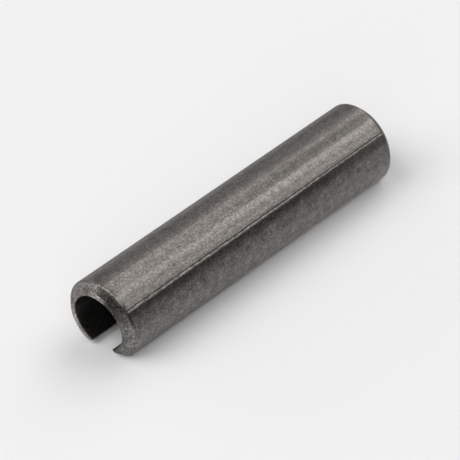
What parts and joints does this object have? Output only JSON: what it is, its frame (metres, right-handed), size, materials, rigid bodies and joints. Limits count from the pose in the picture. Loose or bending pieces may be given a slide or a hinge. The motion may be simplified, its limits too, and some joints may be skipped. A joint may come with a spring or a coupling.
{
  "type": "spring roll pin",
  "caption": "Slotted spring pin: a strip of spring steel rolled into an open C tube, with tapered lead-in ends and a straight slot along its whole length.",
  "frame": {"origin": "on the pin's axis, midway between its two ends", "axes": "+X along the pin's axis; the slot faces straight down, -Z, and the pin lies on the slot's two edges; +Y completes the frame"},
  "size_m": [0.0282, 0.0064, 0.0058],
  "materials": {
    "spring_steel": "satin, tumbled and oiled, dark grey"
  },
  "bodies": {
    "root": {"spring_pin": "spring_steel"}
  },
  "joints": []
}
